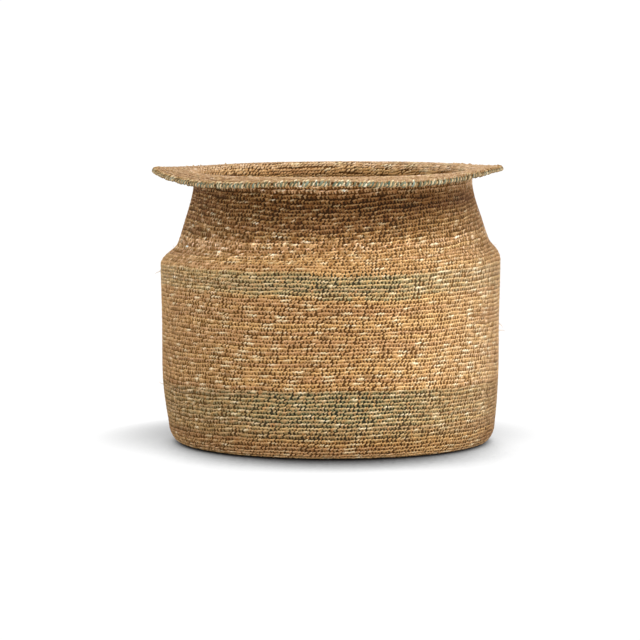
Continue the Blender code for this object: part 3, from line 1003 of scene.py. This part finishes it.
def core_finish():
    """The inside of the loops: the same seagrass, dull, in painted shade that is darkest in front, where
    pinholes are deep.
    """
    material = bpy.data.materials.new("shaded_seagrass")
    material.use_nodes = True
    tree = material.node_tree
    place = add(tree, "TexCoord").outputs["Object"]
    noise = add(tree, "TexNoise", {"Vector": place, "Scale": 1.0 / CORE_PATCH, "Detail": 2.0})
    known = {"patch": noise}
    for attribute in ("dye", "loose", "tone"):
        known[attribute] = add(tree, "Attribute", attribute_name=attribute).outputs["Fac"]
    colour = linear(CORE_DARK)
    for factor, code in (("patch", CORE_BROWN), ("dye", CORE_GREEN), ("loose", CORE_FUZZY)):
        feeds = {0: known[factor], 6: colour, 7: linear(code)}
        colour = add(tree, "Mix", feeds, data_type="RGBA", clamp_factor=True)
    deep = add(tree, "Math", {0: known["tone"], 1: CORE_DEEPER}, operation="POWER")
    toned = add(tree, "VectorMath", {0: colour, "Scale": deep}, operation="SCALE")
    shader = tree.nodes["Principled BSDF"]
    tree.links.new(toned.outputs[0], shader.inputs["Base Color"])
    shader.inputs["Roughness"].default_value = 0.9
    shader.inputs["Specular IOR Level"].default_value = 0.2
    return material


def core():
    """A closed shell from the start of the spiral to the edge of the brim."""
    first = RINGS["base_start"][0]
    outer = np.append(np.arange(first, LINE[-1], CORE_STEP), LINE[-1])
    distances = np.concatenate([outer, outer[::-1]])
    depths = np.repeat([CORE_DEPTH, FABRIC - CORE_DEPTH], len(outer))
    turns = np.arange(CORE_SIDES) / CORE_SIDES
    points = np.concatenate([fabric(distances, np.full(len(distances), turn), depths) for turn in turns])
    count = len(distances)
    faces = []
    for side in range(CORE_SIDES):
        here, after = side * count, (side + 1) % CORE_SIDES * count
        for place in range(count):
            nearby = (place + 1) % count
            faces.append((here + place, after + place, after + nearby, here + nearby))
    mesh = bpy.data.meshes.new("fabric_core")
    mesh.from_pydata(points.tolist(), [], faces)
    places, around = np.tile(distances, CORE_SIDES), np.repeat(turns, count)
    green = np.zeros(len(places))
    for ring in ("lower_green_band", "upper_green_band"):
        green += (places > RINGS[ring][0]) & (places < RINGS[ring][1])
    tones = np.interp(places, *OUTER_TONES) * side_tone(around, places)
    give(mesh, tone=tones, dye=green * dye_strength(around, places), loose=0.8 * looseness(around))
    mesh.shade_smooth()
    mesh.materials.append(core_finish())
    return linked("fabric_core", mesh)


fabric_core = core()
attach(fabric_core, "root")
print("core triangles:", triangles_in(fabric_core))

# %% [markdown]
# ## The two faces of every ring
# Each ring of the frame gets its outer stitches and its inner ones. The outer face shows V's all over.
# The inner face shows bars, except in the neck and on the brim, where the pull of the turned fabric
# opens the bars into pairs of leaning loops.

# %% Work every ring
CORD = 1.25 * MM
INSIDE_WIDTH = 1.15  # a bar is a little wider than the V on its other side
STEADY_HAND = {
    "twist": math.radians(9.0),
    "unevenness": (0.20, 0.14, 0.16),
    "wander": (0.22, 0.08, 0.12),
}
triangles = triangles_in(fabric_core)
for seed, ring in enumerate(RINGS):
    finish, slot = FINISHES.get(ring, (natural_cord, "natural_seagrass"))
    outer_shape = slant_stitch if ring == "base_disc" else v_stitch
    inner_shape = turned_stitch if ring in ("shoulder_band", "neck_band", "brim") else bar_stitch
    for face, shape, width in (("outside", outer_shape, 1.0), ("inside", inner_shape, INSIDE_WIDTH)):
        inside = face == "inside"
        chosen = {"stitch": shape, "finish": finish, "width": width, "seed": 2 * seed + inside}
        piece = worked(ring + "_" + face, ring_guide(ring, inside), thickness=CORD, **chosen, **STEADY_HAND)
        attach(piece, "root")
        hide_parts(ring)
        triangles += triangles_in(piece)
        print(piece.name, "triangles:", triangles_in(piece))

# %% [markdown]
# ## The edging
# A last round of green and cream cord is whipped over the brim's edge. Each strand comes from under
# the brim, wraps its edge and ends on top, leaning to the right. It is the same job as before, with a
# guide along the edge and a strand that is bent into a C.

# %% Wrap the edge of the brim
EDGE_SPACING = 4.1 * MM
EDGE_OUT = 3.0 * MM  # how far the wraps' outermost line lies from the end of the fabric
EDGE_THINNER = 0.22  # how much thinner the wraps are drawn at the far left and right
EDGE_TONE = 0.84
EDGE_DARKER_SIDES = 0.27
EDGE_PALED, EDGE_MOTTLE = 0.6, 1.6
WRAP_SIDES = 6
WRAP_REACH = 4.0  # millimetres from the middle of a wrap to its farthest point
WRAP_DEPTHS = (0.50, 0.55, 0.60, 0.55, 0.50)
# The paths of the dyed, the pale and the top strand in millimetres: x along the brim, y up and z out
# of the edge. After each come half its width and how light it is along the path, which is painted
# shade, darkest at the ends, where the strand goes under.
DYED_WRAP = (
    ((-2.0, -1.5, -3.2), (-1.7, -2.2, -1.9), (-1.2, -1.6, -0.5), (-0.5, -0.2, 0.0))
    + ((0.1, 1.2, -0.1), (0.7, 2.3, -0.9), (1.0, 2.6, -2.4)),
    (0.8, 1.05, 1.15, 1.1, 0.8),
    (0.2, 0.5, 0.85, 1.0, 1.0, 0.8, 0.4),
)
PALE_WRAP = (
    ((-0.1, -1.5, -3.4), (0.2, -2.2, -2.1), (0.7, -1.6, -0.4), (1.2, -0.6, 0.1))
    + ((1.7, 0.4, 0.0), (2.1, 1.2, -0.7), (2.3, 1.5, -1.8)),
    (0.6, 0.85, 0.9, 0.8, 0.5),
    (0.45, 0.75, 1.0, 1.0, 1.0, 0.9, 0.6),
)
TOP_WRAP = (
    ((-1.7, 1.4, -1.6), (-1.1, 2.1, -0.8), (-0.4, 2.8, -1.2), (0.3, 3.1, -2.2))
    + ((0.8, 2.9, -3.2), (1.2, 2.4, -4.2)),
    (0.7, 0.8, 0.9, 0.9),
    (0.4, 0.7, 0.95, 1.0, 0.9, 0.6),
)


def wrap_shape():
    """One round of the edging, in millimetres."""
    wraps = []
    for path, widths, light in (DYED_WRAP, PALE_WRAP, TOP_WRAP):
        wraps.append(strand(path, widths, WRAP_DEPTHS, light, WRAP_SIDES))
    return stitch_shape("edge_wrap", wraps, WRAP_REACH)


def edge_guide():
    """Points round the edge of the brim, with out pointing away from it."""
    count = round(2.0 * math.pi * BRIM_EDGE_RADIUS / EDGE_SPACING)
    turns = np.arange(count) / count
    ends = np.full(count, LINE[-1])
    share = 0.002
    edge = fabric(ends, turns, FABRIC / 2)
    around = fabric(ends, turns + share, FABRIC / 2) - fabric(ends, turns - share, FABRIC / 2)
    outward = unit(edge - fabric(ends - 2.0 * MM, turns, FABRIC / 2))
    mesh = bpy.data.meshes.new("edge_guide")
    mesh.from_pydata((edge + outward * EDGE_OUT).tolist(), [], [])
    side, whole = np.abs(to_right(turns)), np.ones(count)
    thinner = 1.0 - EDGE_THINNER * smooth(side, 0.75, 1.0)
    give(mesh, along=unit(around), out=outward, room=np.stack([whole, thinner, whole], axis=1) * MM)
    give(mesh, run=np.arange(count), tone=EDGE_TONE * (1.0 - EDGE_DARKER_SIDES * side))
    give(mesh, dye=1.0 - 0.2 * smooth(side, 0.4, 1.0), faded=EDGE_PALED, loose=0.0, mottle=EDGE_MOTTLE)
    return linked("edge_guide", mesh)


edging = worked(
    "brim_edging_wraps",
    edge_guide(),
    stitch=wrap_shape(),
    finish=edging_cord,
    twist=math.radians(15.0),
    unevenness=(0.36, 0.20, 0.06),
    wander=(0.95, 0.42, 0.12),
    seed=41,
)
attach(edging, "root")
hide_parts("brim_edging")
triangles += triangles_in(edging)
print("edging triangles:", triangles_in(edging), "all triangles:", triangles)

# %% [markdown]
# ## Loose fibres
# Dry seagrass splits as it is worked, so hair-thin ends stand off the fabric: a light fuzz all over,
# and here and there a long one. The long ones are listed where the basket has them. A fibre is
# one more stitch to the tree: a thin leaning strand that is as long as its room.

# %% Scatter the fibres
FUZZ = 700
FUZZ_LENGTHS = (1.2 * MM, 3.2 * MM)
LONG_FIBRES = (
    # turn round the basket, height up the wall, length
    (0.497, 171.0 * MM, 8.0 * MM),
    (0.503, 173.0 * MM, 6.5 * MM),
    (0.498, 56.0 * MM, 7.0 * MM),
    (0.560, 78.0 * MM, 9.0 * MM),
    (0.002, 118.0 * MM, 8.5 * MM),
    (0.995, 111.0 * MM, 9.0 * MM),
    (0.935, 84.0 * MM, 8.0 * MM),
    (0.996, 193.0 * MM, 5.0 * MM),
    (0.504, 196.0 * MM, 5.5 * MM),
    (0.020, 150.0 * MM, 5.0 * MM),
)
FIBRE = ((0.0, 0.0, -0.12), (0.10, 0.02, 0.14), (0.30, 0.08, 0.42), (0.55, 0.10, 0.64), (0.90, 0.02, 0.78))
FIBRE_WIDTHS, FIBRE_LIGHT = (0.030, 0.026, 0.018), (1.0, 1.0, 1.0, 1.0, 1.0)
FIBRE_RUN = 7.0  # stitches of colour between one fibre and the next


def fibre_guide():
    """Points for the fuzz and for the long fibres, with their length as their room."""
    chance = np.random.default_rng(7)
    turns = np.append(chance.random(FUZZ), [turn for turn, _, _ in LONG_FIBRES])
    heights = [height_to_distance(height) for _, height, _ in LONG_FIBRES]
    fuzz = chance.uniform(FLOOR_RADIUS + 12.0 * MM, LINE[-1] - 2.0 * MM, FUZZ)
    distances = np.append(fuzz, heights)
    lengths = np.append(chance.uniform(*FUZZ_LENGTHS, FUZZ), [length for _, _, length in LONG_FIBRES])
    numbers = np.arange(len(turns)) * FIBRE_RUN
    source = guide("fibre_guide", numbers, turns, distances, 0.2 * MM, False)
    source.data.attributes["room"].data.foreach_set("vector", np.repeat(lengths, 3).astype(np.float32))
    return source


fibre = stitch_shape("fibre", [strand(FIBRE, FIBRE_WIDTHS, FIBRE_WIDTHS, FIBRE_LIGHT, 3)])
fibres = worked(
    "loose_fibres",
    fibre_guide(),
    stitch=fibre,
    finish=natural_cord,
    twist=math.pi,
    unevenness=(0.3, 0.3, 0.2),
    wander=(0.0, 0.0, 0.0),
    seed=53,
)
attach(fibres, "root")
triangles += triangles_in(fibres)
print("fibres:", FUZZ + len(LONG_FIBRES), "all triangles:", triangles)

# %% [markdown]
# ## Floor and light
# The photograph has a white floor that runs out of sight, with only a soft shadow round the foot. Wide
# sun lamps stand in for the studio's softboxes: they light floor and basket evenly at any distance.
# To the camera the floor glows white, and a painted shadow dims it where the basket keeps the light off.

# %% Stage and lamps
FLOOR_HALF = 30.0
FLOOR_DROP = 0.1 * MM
WHITE = (1.0, 1.0, 1.0, 1.0)
SKY_LIGHT = 0.28
# Two painted shadows: how far each looks for the basket, towards where, and how open the sky is where
# the shadow is full and where it ends. The first falls back and left, the second to the front.
SHADOWS = (
    (90.0 * MM, (0.298, -0.797, 0.525), 0.07, 0.946),
    (136.0 * MM, (-0.034, 0.940, 0.339), 0.40, 0.705),
)


def seen_directly(tree):
    """1 for what the camera sees, itself or in something shiny, and 0 for the light on things."""
    path = add(tree, "LightPath").outputs
    feeds = {0: path["Is Camera Ray"], 1: path["Is Glossy Ray"]}
    return add(tree, "Math", feeds, operation="MAXIMUM")


def white_floor():
    """A white sweep. The camera sees it glow white, with a painted shadow where the basket closes off the
    light above it.
    """
    material = bpy.data.materials.new("white_sweep")
    material.use_nodes = True
    tree = material.node_tree
    tree.nodes.clear()
    layers = []
    for reach, axis, full, ends in SHADOWS:
        feeds = {"Distance": reach, "Normal": add(tree, "CombineXYZ", dict(enumerate(axis)))}
        open_sky = add(tree, "AmbientOcclusion", feeds, samples=16).outputs["AO"]
        feeds = {"Value": open_sky, "From Min": full, "From Max": ends}
        layers.append(add(tree, "MapRange", feeds))
    shadow = add(tree, "Math", dict(enumerate(layers)), operation="MULTIPLY")
    glow = add(tree, "Emission", {"Color": WHITE, "Strength": shadow})
    paint = add(tree, "BsdfDiffuse", {"Color": linear("#303030")})
    lit = add(tree, "AddShader", {0: paint, 1: glow})
    white = add(tree, "BsdfDiffuse", {"Color": linear("#E1E1E1")})
    both = add(tree, "MixShader", {0: seen_directly(tree), 1: white, 2: lit})
    below = add(tree, "NewGeometry").outputs["Backfacing"]
    clear = add(tree, "BsdfTransparent")
    one_way = add(tree, "MixShader", {0: below, 1: both, 2: clear})
    add(tree, "OutputMaterial", {"Surface": one_way})
    return material


floor_mesh = bpy.data.meshes.new("floor")
corners = [(x * FLOOR_HALF, y * FLOOR_HALF, -FLOOR_DROP) for x, y in ((-1, -1), (1, -1), (1, 1), (-1, 1))]
floor_mesh.from_pydata(corners, [], [(0, 1, 2, 3)])
floor_mesh.materials.append(white_floor())
floor = linked("floor", floor_mesh)


def lamp(name, azimuth, elevation, strength, spread):
    """A wide sun lamp. Azimuth 0 is where the camera stands and 90 is to the right."""
    light = bpy.data.lights.new(name, "SUN")
    light.energy = strength
    light.angle = math.radians(spread)
    side, rise = math.radians(azimuth), math.radians(elevation)
    place = (math.sin(side) * math.cos(rise), -math.cos(side) * math.cos(rise), math.sin(rise))
    aimed(linked(name, light), place, (0.0, 0.0, 0.0))


lamp("overhead_softbox", 0.0, 66.0, 1.7, 40.0)
lamp("right_softbox", 76.0, 28.0, 2.6, 60.0)
lamp("left_softbox", -60.0, 28.0, 1.1, 60.0)

world = bpy.data.worlds.new("studio")
world.use_nodes = True
bpy.context.scene.world = world
tree = world.node_tree
tree.nodes.clear()
strength = add(tree, "MapRange", {"Value": seen_directly(tree), "To Min": SKY_LIGHT, "To Max": 1.0})
sky = add(tree, "Background", {"Color": WHITE, "Strength": strength})
add(tree, "OutputWorld", {"Surface": sky})
bpy.context.scene.view_settings.view_transform = "Standard"
